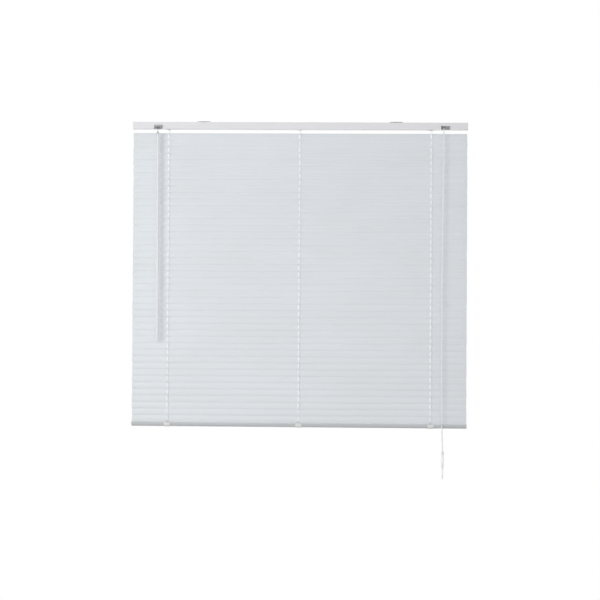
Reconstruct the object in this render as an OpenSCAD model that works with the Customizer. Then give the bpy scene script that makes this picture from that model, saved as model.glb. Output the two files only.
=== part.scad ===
// Venetian blind with 25 mm crowned slats, a wand tilter on the left and a cord
// lock on the right. Units are millimetres. X runs along the blind, -Y is the
// room side, +Z is up. The origin is on the ceiling plane, midway between the
// two mounting brackets.

/* [Blind] */
// Overall width over the head rail's end caps
blind_w = 1180; // [1100:10:1400]
// Slat width
slat_w = 25; // [24:0.5:25]
// Slat thickness
slat_t = 0.3; // [0.2:0.05:0.4]
// Rise of the slat's crown above its edges
slat_crown = 1.5; // [0.8:0.1:1.6]
// Number of slats
slat_count = 44; // [10:1:44]
// Distance from one slat to the next
slat_pitch = 23.13; // [22.9:0.01:23.3]
// Tilt of the slats in the closed position, front edge down
closed_tilt = 75; // [74:0.5:76]
// Distance of the outer ladders from the middle
ladder_x = 463; // [440:1:463]

/* [Head rail] */
// Depth and height of the head rail channel
rail_d = 25; // [25:0.5:27]
// Sheet thickness of the head rail
rail_t = 0.6; // [0.5:0.05:0.7]
// Gap between the ceiling and the top of the head rail
rail_drop = 3; // [3:0.1:3.5]
// Diameter of the tilt rod
rod_d = 6; // [5:0.5:6]
// Radius of the ladder drums
drum_r = 8; // [7:0.5:8]

/* [Brackets] */
// Distance of each bracket from the middle
bracket_x = 339; // [250:1:400]
// Width of a bracket
bracket_w = 46; // [40:1:50]
// Diameter of the screw holes
screw_d = 4.6; // [4:0.1:5]

/* [Tilter and wand] */
// Position of the tilter along the blind
tilter_x = -500.5; // [-508:0.5:-499]
// Angle between the worm shaft and the vertical
worm_lean = 35; // [33:1:37]
// Teeth of the worm wheel
wheel_teeth = 14; // [12:1:16]
// Height of the wand's lower end
wand_end_z = -774; // [-900:1:-500]
// Width of the hexagonal wand over its corners
wand_d = 9; // [7:0.5:9]

/* [Cords] */
// Position of the cord lock along the blind
lock_x = 504.9; // [501.4:0.5:508.4]
// Diameter of a lift cord
cord_d = 1.4; // [1.2:0.1:1.4]
// Diameter of a ladder string
string_d = 1.2; // [1:0.1:1.2]
// Width of the slots that the lift cords pass through
slot_w = 4.6; // [4.6:0.1:6]
// Length of those slots
slot_l = 15; // [15:0.5:17]
// Height of the top of the cord tassel
tassel_z = -1153; // [-1300:1:-1120]

/* [Hidden] */
FN = 32;
function slat_name(i) = str("slat_", i < 10 ? "0" : "", i);

half = blind_w / 2;
rail_top = -rail_drop;
rail_bot = rail_top - 25;
in_bot = rail_bot + rail_t;
rod_z = rail_top - 11;
stations = [-ladder_x, 0, ladder_x];
// the first slat's upper edge hangs 12.5 below the head rail
edge_y = slat_w / 2 * cos(closed_tilt);
edge_z = slat_w / 2 * sin(closed_tilt);
slat1_z = rail_bot - 12.5 - edge_z;
function slat_z(i) = slat1_z - (i - 1) * slat_pitch;
slat_len = blind_w - 2;
string_y = edge_y + 1.07;
string_dx = 1.6;
cord_dx = 1.0;
brail_top = slat_z(slat_count) - edge_z - 1.1;
brail_h = 16;

// ---- helpers -------------------------------------------------------------
// extrude a (y, z) outline along X from x0 to x1
module along_x(x0, x1) {
    translate([x0, 0, 0]) rotate([90, 0, 90]) linear_extrude(x1 - x0) children();
}
// box from its lowest and highest corners
module box(a, b) { translate(a) cube(b - a); }
// rod of radius r from a, along direction d (unit), length l
module rod_along(a, lean, r, l) {
    translate(a) rotate([180 - lean, 0, 0]) cylinder(h = l, r = r, $fn = FN);
}

// ---- slats ---------------------------------------------------------------
function crown(s) = slat_crown * (1 - pow(2 * s / slat_w, 2));
slat_outline = concat(
    [for (k = [0 : 12]) let (s = -slat_w / 2 + slat_w * k / 12) [s, crown(s) + slat_t / 2]],
    [for (k = [12 : -1 : 0]) let (s = -slat_w / 2 + slat_w * k / 12) [s, crown(s) - slat_t / 2]]);
module rout_slot() {
    cube([slot_w, slot_l - slot_w, 8], center = true);
    for (s = [-1, 1]) translate([0, s * (slot_l - slot_w) / 2, 0])
        cylinder(h = 8, d = slot_w, center = true, $fn = FN);
}
module slat(i) {
    color([0.86, 0.88, 0.89])
    translate([0, 0, slat_z(i)]) rotate([closed_tilt, 0, 0]) difference() {
        along_x(-slat_len / 2, slat_len / 2) polygon(slat_outline);
        for (x = stations) translate([x, 0, 0]) rout_slot();
    }
}

// ---- head rail -----------------------------------------------------------
module rail_outline() {
    h = rail_d / 2; t = rail_t; r = 1.6;
    // floor and walls with rounded lower corners
    difference() {
        union() {
            translate([-h + r, rail_bot]) square([rail_d - 2 * r, 10]);
            translate([-h, rail_bot + r]) square([rail_d, 25 - r]);
            for (s = [-1, 1]) translate([s * (h - r), rail_bot + r]) circle(r, $fn = FN);
        }
        union() {
            translate([-h + r, in_bot]) square([rail_d - 2 * r, 30]);
            translate([-h + t, rail_bot + r]) square([rail_d - 2 * t, 30]);
            for (s = [-1, 1]) translate([s * (h - r), rail_bot + r]) circle(r - t, $fn = FN);
        }
    }
    // lips turned in and down along the top edges
    for (s = [0, 1]) mirror([s, 0]) {
        translate([-h, rail_top - t]) square([4, t]);
        translate([-h + 4 - t, rail_top - 3]) square([t, 3]);
    }
}
module head_rail() {
    color([0.87, 0.88, 0.89]) difference() {
        along_x(-half + 1.6, half - 1.6) rail_outline();
        // ladder and lift cord openings in the floor
        for (x = stations) box([x - 6.1, -9.9, rail_bot - 1], [x + 6.1, 9.9, rail_bot + 2]);
        // cut-outs in the lower front corner for the tilter and the cord lock
        box([tilter_x - 13.9, -14, rail_bot - 1], [tilter_x + 13.9, -8.6, rail_bot + 15.8]);
        box([lock_x - 9.2, -14, rail_bot - 1], [lock_x + 21.2, -8.6, rail_bot + 12.8]);
    }
}
module head_rail_end_caps() {
    color([0.9, 0.91, 0.92]) for (s = [0, 1]) mirror([s, 0, 0]) {
        along_x(half - 1.5, half) {
            translate([-rail_d / 2 + 1.6, rail_bot]) square([rail_d - 3.2, 25]);
            translate([-rail_d / 2, rail_bot + 1.6]) square([rail_d, 21.8]);
            for (u = [-1, 1], v = [1.6, 23.4]) translate([u * (rail_d / 2 - 1.6), rail_bot + v])
                circle(1.6, $fn = FN);
        }
        // plug that grips inside the channel
        g = rail_d / 2 - rail_t - 0.15;
        difference() {
            along_x(half - 13, half - 1.5) polygon([[-g, in_bot + 1.15], [-g + 1, in_bot + 0.15],
                [g - 1, in_bot + 0.15], [g, in_bot + 1.15], [g, rail_top - 6.2], [-g, rail_top - 6.2]]);
            box([half - 14, -g + 1.6, in_bot + 1.75], [half - 1.6, g - 1.6, rail_top]);
        }
    }
}

// ---- brackets ------------------------------------------------------------
module bracket() {
    w = bracket_w / 2;
    difference() {
        union() {
            // top plate against the ceiling
            box([-w, -rail_d / 2 - 0.6, -1.5], [w, rail_d / 2 + 1.9, 0]);
            // rear flange against the wall
            box([-w, rail_d / 2 + 0.4, -27], [w, rail_d / 2 + 1.9, 0]);
        }
        cylinder(h = 9, d = screw_d, center = true, $fn = FN);
        translate([0, rail_d / 2 + 1, -15]) rotate([90, 0, 0]) cylinder(h = 9, d = screw_d, center = true, $fn = FN);
    }
    // two legs through the open top of the rail, turned out under its lips
    for (s = [0, 1]) mirror([0, s, 0]) for (x = [-w, w - 12]) {
        box([x, 6.6, rail_top - 4.35], [x + 12, 7.8, -1.5]);
        box([x, 6.6, rail_top - 4.35], [x + 12, 10.6, rail_top - 3.1]);
    }
}
module mounting_brackets() {
    color([0.62, 0.63, 0.64]) for (s = [-1, 1]) translate([s * bracket_x, 0, 0]) bracket();
}

// ---- ladder cradles ------------------------------------------------------
hub_r = 4.2;
bore_r = 4.25;
module cradle() {
    difference() {
        union() {
            box([-16, -11.2, in_bot + 0.05], [16, 11.2, in_bot + 1.5]);
            box([-5.95, -9.75, rail_bot - 1], [5.95, 9.75, in_bot + 1]);
            box([-7.6, -11.2, rail_bot - 1.05], [7.6, 11.2, rail_bot - 0.05]);
            for (x = [-16, 14.4]) box([x, -8, in_bot + 1], [x + 1.6, 8, rod_z + 4]);
        }
        box([-4.9, -8.9, rail_bot - 2], [4.9, 8.9, in_bot + 3]);
        translate([-20, 0, rod_z]) rotate([0, 90, 0]) cylinder(h = 40, r = bore_r, $fn = FN);
        box([-20, -bore_r, rod_z], [20, bore_r, rod_z + 10]);
        box([-20, -3.6, in_bot + 1.5], [20, 3.6, in_bot + 4.3]);
    }
}
module ladder_cradles() {
    color([0.93, 0.93, 0.92]) for (x = stations) translate([x, 0, 0]) cradle();
}

// ---- tilter --------------------------------------------------------------
wheel_r = 6;
worm_r = 2.4;
// worm axis: through wa, along the downward and forward direction wd
wd = [0, -sin(worm_lean), -cos(worm_lean)];
wn = [0, -cos(worm_lean), sin(worm_lean)];
wa = [tilter_x, 0, rod_z] + (wheel_r + worm_r) * wn;
function on_worm(t) = wa + t * wd;
worm_lead = 2 * PI * wheel_r / wheel_teeth;
ring_t = 22.4;
ring_p = on_worm(ring_t);
module d_shaft(r, x0, x1, flat) {
    intersection() {
        translate([x0, 0, rod_z]) rotate([0, 90, 0]) cylinder(h = x1 - x0, r = r, $fn = FN);
        box([x0 - 1, -r - 1, rod_z - r - 1], [x1 + 1, r + 1, rod_z + flat]);
    }
}
module tilter_housing() {
    color([0.58, 0.59, 0.6]) difference() {
        union() {
            box([tilter_x - 13.4, -11.7, in_bot + 0.05], [tilter_x + 13.4, 9.2, rail_top - 3.6]);
            // nose through the front of the rail: hood and two cheeks
            along_x(tilter_x - 13.4, tilter_x + 13.4)
                polygon([[-11, rail_bot + 15.4], [-13.4, rail_bot + 15.4], [-18.6, rail_bot + 12.4], [-18.6, rail_bot + 3.2], [-13.4, rail_bot + 1.4], [-11, rail_bot + 1.4]]);
        }
        // inside of the nose, open at the front and below
        box([tilter_x - 11.6, -30, rail_bot - 1], [tilter_x + 11.6, -12.6, rail_bot + 7.6]);
        along_x(tilter_x - 11.6, tilter_x + 11.6)
            polygon([[-12.6, rail_bot + 13.3], [-13.2, rail_bot + 13.3], [-17.3, rail_bot + 11.4], [-17.3, rail_bot], [-12.6, rail_bot]]);
        // rod bearings
        translate([tilter_x - 20, 0, rod_z]) rotate([0, 90, 0]) cylinder(h = 40, r = bore_r, $fn = FN);
        // wheel chamber
        translate([tilter_x - 3.4, 0, rod_z]) rotate([0, 90, 0]) cylinder(h = 6.8, r = 7.6, $fn = FN);
        box([tilter_x - 3.4, -7.6, rod_z], [tilter_x + 3.4, 7.6, rail_top]);
        // worm chamber and the shaft's bearing
        rod_along(on_worm(-5.2), worm_lean, 3.5, 11);
        rod_along(on_worm(-9), worm_lean, 1.95, 12);
        rod_along(on_worm(0), worm_lean, 1.95, 20);
        // room for the lift of the front mouth
        box([tilter_x - 3.6, -12.7, rod_z - 7], [tilter_x + 3.6, -5, rod_z + 1]);
    }
}
module tilter_worm() {
    color([0.7, 0.7, 0.71]) {
        rod_along(on_worm(-6), worm_lean, 1.9, 6 + ring_t - 3.2);
        // thread
        translate(wa) rotate([180 - worm_lean, 0, 0]) translate([0, 0, -4.6])
            linear_extrude(9.2, twist = -360 * 9.2 / worm_lead, slices = 48)
                // the crest faces the wheel half way along
                rotate(270 - 360 * 4.6 / worm_lead) translate([0.55, 0]) circle(2.3, $fn = 14);
        // eyelet for the wand's hook
        translate(ring_p) rotate([90 - worm_lean, 0, 0]) rotate_extrude($fn = FN)
            translate([3, 0]) circle(0.6, $fn = 16);
    }
}
module wheel_outline() {
    circle(wheel_r - 1.25, $fn = FN);
    for (k = [0 : wheel_teeth - 1]) rotate(k * 360 / wheel_teeth)
        polygon([[4, -0.62], [wheel_r - 0.2, -0.42], [wheel_r + 0.45, -0.25], [wheel_r + 0.45, 0.25], [wheel_r - 0.2, 0.42], [4, 0.62]]);
}
module tilt_rod() {
    color([0.72, 0.73, 0.74]) d_shaft(rod_d / 2, tilter_x - 17, ladder_x + 20, 2.2);
    // a drum at each ladder
    color([0.92, 0.92, 0.91]) for (x = stations) difference() {
        translate([x, 0, rod_z]) rotate([0, 90, 0]) union() {
            translate([0, 0, -6.6]) cylinder(h = 13.2, r = drum_r, $fn = FN);
            for (s = [-7.8, 6.6]) translate([0, 0, s]) cylinder(h = 1.2, r = drum_r + 1.3, $fn = FN);
            translate([0, 0, -17.5]) cylinder(h = 35, r = hub_r, $fn = FN);
        }
        d_shaft(rod_d / 2 + 0.05, x - 30, x + 30, 2.25);
    }
    // worm wheel
    color([0.9, 0.9, 0.88]) difference() {
        union() {
            translate([tilter_x - 1.8, 0, rod_z]) rotate([90, 0, 90]) linear_extrude(3.6)
                rotate(wheel_phase) wheel_outline();
            translate([tilter_x - 14.5, 0, rod_z]) rotate([0, 90, 0]) cylinder(h = 29, r = hub_r, $fn = FN);
        }
        d_shaft(rod_d / 2 + 0.05, tilter_x - 30, tilter_x + 30, 2.25);
    }
}
// a gap between two teeth faces the worm
wheel_phase = 180 - worm_lean + 180 / wheel_teeth;

// ---- wand ----------------------------------------------------------------
// the wand hangs a quarter of a degree out of plumb along the blind
wand_lean = 0.25;
loop_r = 4;
wand_top = ring_p + [0, 0, -2 * loop_r];
module tilt_wand() {
    translate(ring_p) rotate([0, -wand_lean, 0]) {
        color([0.66, 0.67, 0.68]) {
            translate([0, 0, -loop_r]) rotate([0, 90, 0]) rotate_extrude($fn = FN)
                translate([loop_r, 0]) circle(0.6, $fn = 16);
            translate([0, 0, -2 * loop_r - 13]) cylinder(h = 12.8, r = 0.95, $fn = FN);
            // ferrule
            difference() {
                translate([0, 0, -2 * loop_r - 6.5]) cylinder(h = 4.2, r1 = 3.6, r2 = 1.6, $fn = FN);
                translate([0, 0, -2 * loop_r - 7]) cylinder(h = 6, r = 1, $fn = FN);
            }
        }
        color([0.9, 0.92, 0.93]) difference() {
            translate([0, 0, wand_end_z - ring_p[2]])
                cylinder(h = -wand_end_z + ring_p[2] - 2 * loop_r - 6.6, d = wand_d, $fn = 6);
            translate([0, 0, -2 * loop_r - 13.5]) cylinder(h = 14, r = 1, $fn = FN);
        }
    }
}

// ---- cord lock -----------------------------------------------------------
roll_x = lock_x - 5.9;
roll_y = -15.5;
cord_y = -16;
module cord_lock_housing() {
    l = lock_x - 9; r = lock_x + 21;
    color([0.5, 0.51, 0.5]) difference() {
        union() {
            difference() {
                box([l, -11.7, in_bot + 0.05], [r, 9.2, rail_top - 3.6]);
                // cord chamber, open to the left and above
                box([l - 1, -10.4, in_bot + 1.2], [lock_x + 4.6, 6, rail_top]);
            }
            // wedge-shaped nose to the right of the cords
            along_x(lock_x + 4.2, r)
                polygon([[-11, rail_bot + 12.4], [-13.4, rail_bot + 12.4], [-15.4, rail_bot + 10], [-15.4, rail_bot + 5], [-13.2, rail_bot + 1], [-11, rail_bot + 1]]);
            // post that the cords turn round
            translate([lock_x - post_r, -post_r, in_bot + 1]) cylinder(h = 17, r = 2.2, $fn = FN);
            // lugs that hold the roller
            for (z = [rail_bot + 0.9, rail_bot + 11.2])
                box([l, -18.2, z], [lock_x - 3.2, -11, z + 1.2]);
        }
        // mouth for the cords
        box([lock_x - 3.6, -20, rail_bot + 3.2], [lock_x + 3.8, -10, rail_bot + 11.4]);
        // slots for the roller's journals
        for (dx = [0, 1.6]) translate([roll_x + dx, roll_y, rail_bot - 2]) cylinder(h = 20, r = 1, $fn = FN);
        box([roll_x, roll_y - 1, rail_bot - 2], [roll_x + 1.6, roll_y + 1, rail_bot + 18]);
    }
}
module cord_lock_roller() {
    color([0.3, 0.3, 0.29]) translate([roll_x, roll_y, 0]) {
        translate([0, 0, rail_bot + 2.3]) linear_extrude(8.7) difference() {
            circle(1.8, $fn = FN);
            for (a = [0 : 30 : 330]) rotate(a) translate([1.85, 0]) circle(0.2, $fn = 16);
        }
        translate([0, 0, rail_bot + 0.3]) cylinder(h = 12.7, r = 0.9, $fn = FN);
    }
}

// ---- cords ---------------------------------------------------------------
// tube of eight sides along a list of points
function unit(v) = v / norm(v);
function tangent(p, i) = unit(p[min(i + 1, len(p) - 1)] - p[max(i - 1, 0)]);
// a side vector that turns as little as possible along the route
function side_at(p, i) = i == 0
    ? unit(cross(tangent(p, 0), [0, 1, 0]))
    : let (t = tangent(p, i), s = side_at(p, i - 1)) unit(s - (s * t) * t);
module tube(p, r) {
    n = len(p);
    pts = [for (i = [0 : n - 1]) let (t = tangent(p, i), u = side_at(p, i), v = cross(t, u))
        for (k = [0 : 7]) p[i] + r * (cos(45 * k) * u + sin(45 * k) * v)];
    polyhedron(pts, concat(
        [[for (k = [0 : 7]) k]],
        [for (i = [0 : n - 2]) for (k = [0 : 7])
            [i * 8 + k, (i + 1) * 8 + k, (i + 1) * 8 + (k + 1) % 8, i * 8 + (k + 1) % 8]],
        [[for (k = [7 : -1 : 0]) (n - 1) * 8 + k]]));
}
lane_z = in_bot + 2.6;
tassel_x = lock_x - 0.5;
cord_low = brail_top - 7.6;
// the three cords lie side by side, this far apart, and turn round a post in the lock
cord_gap = 1.85;
post_r = 5;
// the hanging part: offset from the lock, spacing of the cords, height
hang = [[-0.3, cord_gap, -60], [-1.5, 1.8, -190], [-3.4, 1.65, -380], [-5, 1.55, -600],
    [-5.2, 1.55, -800], [-4.7, 1.55, -980], [-2.8, 1.6, -1080]];
// route of lift cord k, from the bottom rail up, along the rail and down to the tassel
function cord_route(k) = let (x = stations[k] + cord_dx, w = cord_gap * (k - 1),
        c = lock_x + w, e = tassel_x + 1.6 * (k - 1), h = lane_z, cx = lock_x - post_r, r = post_r + w) concat([
    [x, 0, cord_low], [x, 0, rail_bot - 12], [x, 0.5 * w, rail_bot - 5],
    [x, 0.85 * w, rail_bot - 0.5], [x + 0.3, 0.9 * w, h - 2.2], [x + 1.4, 0.95 * w, h - 0.7], [x + 4, w, h],
    [472, w, h], [480, w, h + 0.6], [485, w, h + 3.4], [489, w, h + 6.8], [492.5, w, h + 8.8]],
    [for (a = [0 : 22.5 : 90]) [cx + r * sin(a), -post_r + r * cos(a), h + 9.8 - a / 60]],
    [[c, -8.5, h + 5.4], [c, -11.6, h + 2.2], [c, -14.2, h - 1.6], [c, -15.6, h - 5.6], [c, cord_y, h - 10]],
    [for (q = hang) [lock_x + q[0] + q[1] * (k - 1), cord_y, q[2]]],
    [[e, cord_y, tassel_z + 20], [e, cord_y, tassel_z - 6]]);
module lift_cords() {
    color([0.93, 0.93, 0.92]) {
        for (k = [0 : 2]) tube(cord_route(k), cord_d / 2);
        // stop knots inside the bottom rail
        for (x = stations) translate([x + cord_dx, 0, cord_low - 1.5]) sphere(1.9, $fn = FN);
    }
}

// ---- ladders -------------------------------------------------------------
module strings(y) {
    for (x = stations) translate([x + string_dx, y, brail_top + 0.3])
        cylinder(h = rod_z - sqrt(drum_r * drum_r - string_y * string_y) - 0.5 - brail_top - 0.3, d = string_d, $fn = FN);
}
module ladder_front_strings() { color([0.92, 0.93, 0.93]) strings(-string_y); }
module ladder_rear_strings() { color([0.92, 0.93, 0.93]) strings(string_y); }

// ---- bottom rail ---------------------------------------------------------
// boat-shaped outline, grown outwards by g
function hull_outline(g) = [for (a = [0 : 9 : 180])
    [-(12.2 + g) * cos(a) * pow(max(abs(cos(a)), 0.001), -0.12), -1.8 - (brail_h - 1.8 + g) * pow(sin(a), 0.93)]];
module brail_outline(g) {
    polygon(concat([[-11 - g, 0], [-12.2 - g, -0.6]], hull_outline(g), [[12.2 + g, -0.6], [11 + g, 0]]));
}
module bottom_rail() {
    color([0.84, 0.86, 0.87]) translate([0, 0, brail_top]) difference() {
        along_x(-slat_len / 2 + 1.3, slat_len / 2 - 1.3) brail_outline(0);
        along_x(-slat_len / 2, slat_len / 2) translate([0, -0.7]) scale([0.94, 0.9]) brail_outline(0);
        for (x = stations) {
            box([x - 4.5, -7, -2], [x + 4.5, 7, 1]);
            translate([x, 0, -brail_h - 4]) cylinder(h = 13, r = 4, $fn = FN);
        }
    }
}
module bottom_rail_fittings() {
    color([0.95, 0.95, 0.95]) translate([0, 0, brail_top]) {
        for (s = [0, 1]) mirror([s, 0, 0]) {
            along_x(slat_len / 2 - 1.2, slat_len / 2 + 0.2) brail_outline(0);
            along_x(slat_len / 2 - 9, slat_len / 2 - 1.2) translate([0, -0.85]) scale([0.92, 0.87]) brail_outline(0);
        }
        // clips that wrap the hull and hold the ladder ends
        for (x = stations) {
            difference() {
                along_x(x - 10.5, x + 10.5) translate([0, -0.2]) brail_outline(1.3);
                along_x(x - 11, x + 11) brail_outline(0.12);
                box([x - 12, -11.8, -3], [x + 12, 11.8, 3]);
            }
            translate([x, 0, 0.6 - brail_h]) difference() {
                cylinder(h = 4, r = 3.8, $fn = FN);
                translate([0, 0, 1]) cylinder(h = 4, r = 2.8, $fn = FN);
            }
        }
    }
}

// ---- tassel --------------------------------------------------------------
module cord_tassel() {
    translate([tassel_x, cord_y, tassel_z]) {
        color([0.95, 0.95, 0.94]) rotate_extrude($fn = FN)
            polygon([[2.9, 0], [3.6, -0.3], [4.4, -3], [4.9, -8], [5, -20], [5, -52], [4.6, -55], [3.6, -57], [3.5, -83], [3, -84], [0, -84], [0, -8], [2.9, -8]]);
        color([0.75, 0.75, 0.74]) rotate_extrude($fn = FN)
            polygon([[0, -84], [2.2, -84], [2.2, -96], [1.6, -98], [0, -98.5]]);
    }
}

head_rail();
head_rail_end_caps();
mounting_brackets();
ladder_cradles();
tilter_housing();
cord_lock_housing();
lift_cords();
tilt_rod();
tilter_worm();
tilt_wand();
cord_lock_roller();
ladder_front_strings();
ladder_rear_strings();
bottom_rail();
bottom_rail_fittings();
cord_tassel();
for (i = [1 : slat_count]) slat(i);
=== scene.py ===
"""Looks of a venetian blind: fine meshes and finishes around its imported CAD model.

Units are metres in the CAD's frame: X runs along the blind, -Y is the room side, +Z is up, and the origin is on the
ceiling plane above the middle of the head rail. Sizes below that end in _MM are millimetres.
"""

import math
import random

import bpy
import numpy as np
from mathutils import Matrix, Vector


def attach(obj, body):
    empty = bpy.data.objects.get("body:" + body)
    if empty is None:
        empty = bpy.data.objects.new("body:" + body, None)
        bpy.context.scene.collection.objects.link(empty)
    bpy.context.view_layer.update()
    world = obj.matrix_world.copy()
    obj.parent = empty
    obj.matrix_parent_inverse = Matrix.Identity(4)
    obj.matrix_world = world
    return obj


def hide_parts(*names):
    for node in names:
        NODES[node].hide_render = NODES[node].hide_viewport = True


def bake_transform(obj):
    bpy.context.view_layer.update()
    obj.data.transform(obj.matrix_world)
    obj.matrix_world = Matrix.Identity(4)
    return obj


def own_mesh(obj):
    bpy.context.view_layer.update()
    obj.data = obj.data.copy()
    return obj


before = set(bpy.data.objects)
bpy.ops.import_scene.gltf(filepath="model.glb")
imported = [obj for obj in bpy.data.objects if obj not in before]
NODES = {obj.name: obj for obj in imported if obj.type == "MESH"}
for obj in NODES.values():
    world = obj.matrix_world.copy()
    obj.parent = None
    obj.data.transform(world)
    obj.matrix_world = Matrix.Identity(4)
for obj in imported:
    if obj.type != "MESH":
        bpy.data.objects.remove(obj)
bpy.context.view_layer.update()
MM = 0.001
scene = bpy.context.scene

# ---------------------------------------------------------------- camera

YAW, PITCH, ROLL = 0.02057, 0.0092, 0.0057
CAM_AT = (0.0742, -3.4969, -0.4852)
FOCAL_PX, RISE_PX = 991.63, -49.8


def make_camera():
    fwd = Vector((-math.sin(YAW) * math.cos(PITCH), math.cos(YAW) * math.cos(PITCH), math.sin(PITCH)))
    right = Vector((math.cos(YAW), math.sin(YAW), 0))
    up = right.cross(fwd)
    cx = math.cos(ROLL) * right + math.sin(ROLL) * up
    cy = -math.sin(ROLL) * right + math.cos(ROLL) * up
    data = bpy.data.cameras.new("camera")
    data.sensor_width = 36
    data.lens = FOCAL_PX * 36 / 600
    data.shift_y = RISE_PX / 600
    data.clip_start, data.clip_end = 0.05, 100
    cam = bpy.data.objects.new("camera", data)
    m = Matrix.Identity(4)
    for k, axis in enumerate((cx, cy, -fwd)):
        m.col[k][:3] = axis
    m.col[3][:3] = CAM_AT
    cam.matrix_world = m
    scene.collection.objects.link(cam)
    scene.camera = cam


make_camera()

# ---------------------------------------------------------------- materials


class Nodes:
    """A short way to write one material's node tree."""

    def __init__(self, name, base, rough, metallic=0.0, ior=1.5, coat=0.0, coat_rough=0.1, transmission=0.0, spec=0.5):
        self.mat = bpy.data.materials.new(name)
        self.mat.use_nodes = True
        self.t = self.mat.node_tree
        self.t.nodes.clear()
        self.out = self.t.nodes.new("ShaderNodeOutputMaterial")
        self.p = self.t.nodes.new("ShaderNodeBsdfPrincipled")
        self.t.links.new(self.p.outputs[0], self.out.inputs[0])
        self.p.inputs["Base Color"].default_value = (*base, 1)
        self.p.inputs["Roughness"].default_value = rough
        self.p.inputs["Metallic"].default_value = metallic
        self.p.inputs["IOR"].default_value = ior
        self.p.inputs["Specular IOR Level"].default_value = spec
        self.p.inputs["Coat Weight"].default_value = coat
        self.p.inputs["Coat Roughness"].default_value = coat_rough
        self.p.inputs["Transmission Weight"].default_value = transmission
        self.base, self.rough = base, rough
        self.normal = None
        self.coord = self.add("ShaderNodeTexCoord")

    def add(self, kind, **values):
        n = self.t.nodes.new(kind)
        for k, v in values.items():
            setattr(n, k, v)
        return n

    def link(self, a, b):
        self.t.links.new(a, b)

    def mapped(self, scale, space="Object", rotate=(0, 0, 0)):
        m = self.add("ShaderNodeMapping")
        m.inputs["Scale"].default_value = scale
        m.inputs["Rotation"].default_value = rotate
        self.link(self.coord.outputs[space], m.inputs["Vector"])
        return m.outputs[0]

    def noise(self, scale, detail=3.0, rough=0.55, space="Object"):
        n = self.add("ShaderNodeTexNoise")
        n.inputs["Scale"].default_value = 1.0
        n.inputs["Detail"].default_value = detail
        n.inputs["Roughness"].default_value = rough
        self.link(self.mapped(scale if hasattr(scale, "__len__") else (scale,) * 3, space), n.inputs["Vector"])
        return n.outputs["Fac"]

    def cells(self, scale, feature="F1", output="Distance"):
        n = self.add("ShaderNodeTexVoronoi", feature=feature)
        n.inputs["Scale"].default_value = 1.0
        self.link(self.mapped((scale,) * 3), n.inputs["Vector"])
        return n.outputs[output]

    def span(self, value, a, b, lo=0.0, hi=1.0):
        """value from a to b becomes lo to hi, clamped."""
        n = self.add("ShaderNodeMapRange")
        for k, v in (("From Min", a), ("From Max", b), ("To Min", lo), ("To Max", hi)):
            n.inputs[k].default_value = v
        self.link(value, n.inputs["Value"])
        return n.outputs[0]

    def math(self, op, a, b=None, c=None):
        n = self.add("ShaderNodeMath", operation=op)
        for k, v in enumerate((a, b, c)):
            if v is None:
                continue
            if isinstance(v, (int, float)):
                n.inputs[k].default_value = v
            else:
                self.link(v, n.inputs[k])
        return n.outputs[0]

    def mix(self, fac, a, b):
        n = self.add("ShaderNodeMix", data_type="RGBA")
        self.link(fac, n.inputs["Factor"])
        for k, v in (("A", a), ("B", b)):
            socket = [s for s in n.inputs if s.name == k and s.type == "RGBA"][0]
            if isinstance(v, tuple):
                socket.default_value = (*v, 1)
            else:
                self.link(v, socket)
        return [s for s in n.outputs if s.type == "RGBA"][0]

    def colour(self, socket):
        self.link(socket, self.p.inputs["Base Color"])
        return self

    def roughness(self, socket):
        self.link(socket, self.p.inputs["Roughness"])
        return self

    def bump(self, height, distance, strength=1.0):
        n = self.add("ShaderNodeBump")
        n.inputs["Strength"].default_value = strength
        n.inputs["Distance"].default_value = distance
        self.link(height, n.inputs["Height"])
        if self.normal is not None:
            self.link(self.normal, n.inputs["Normal"])
        self.normal = n.outputs[0]
        self.link(self.normal, self.p.inputs["Normal"])
        return self


def shade(c, f, blue=0.0):
    return tuple(max(0.0, min(1.0, x * f + d)) for x, d in zip(c, (-blue, 0, blue)))


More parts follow.
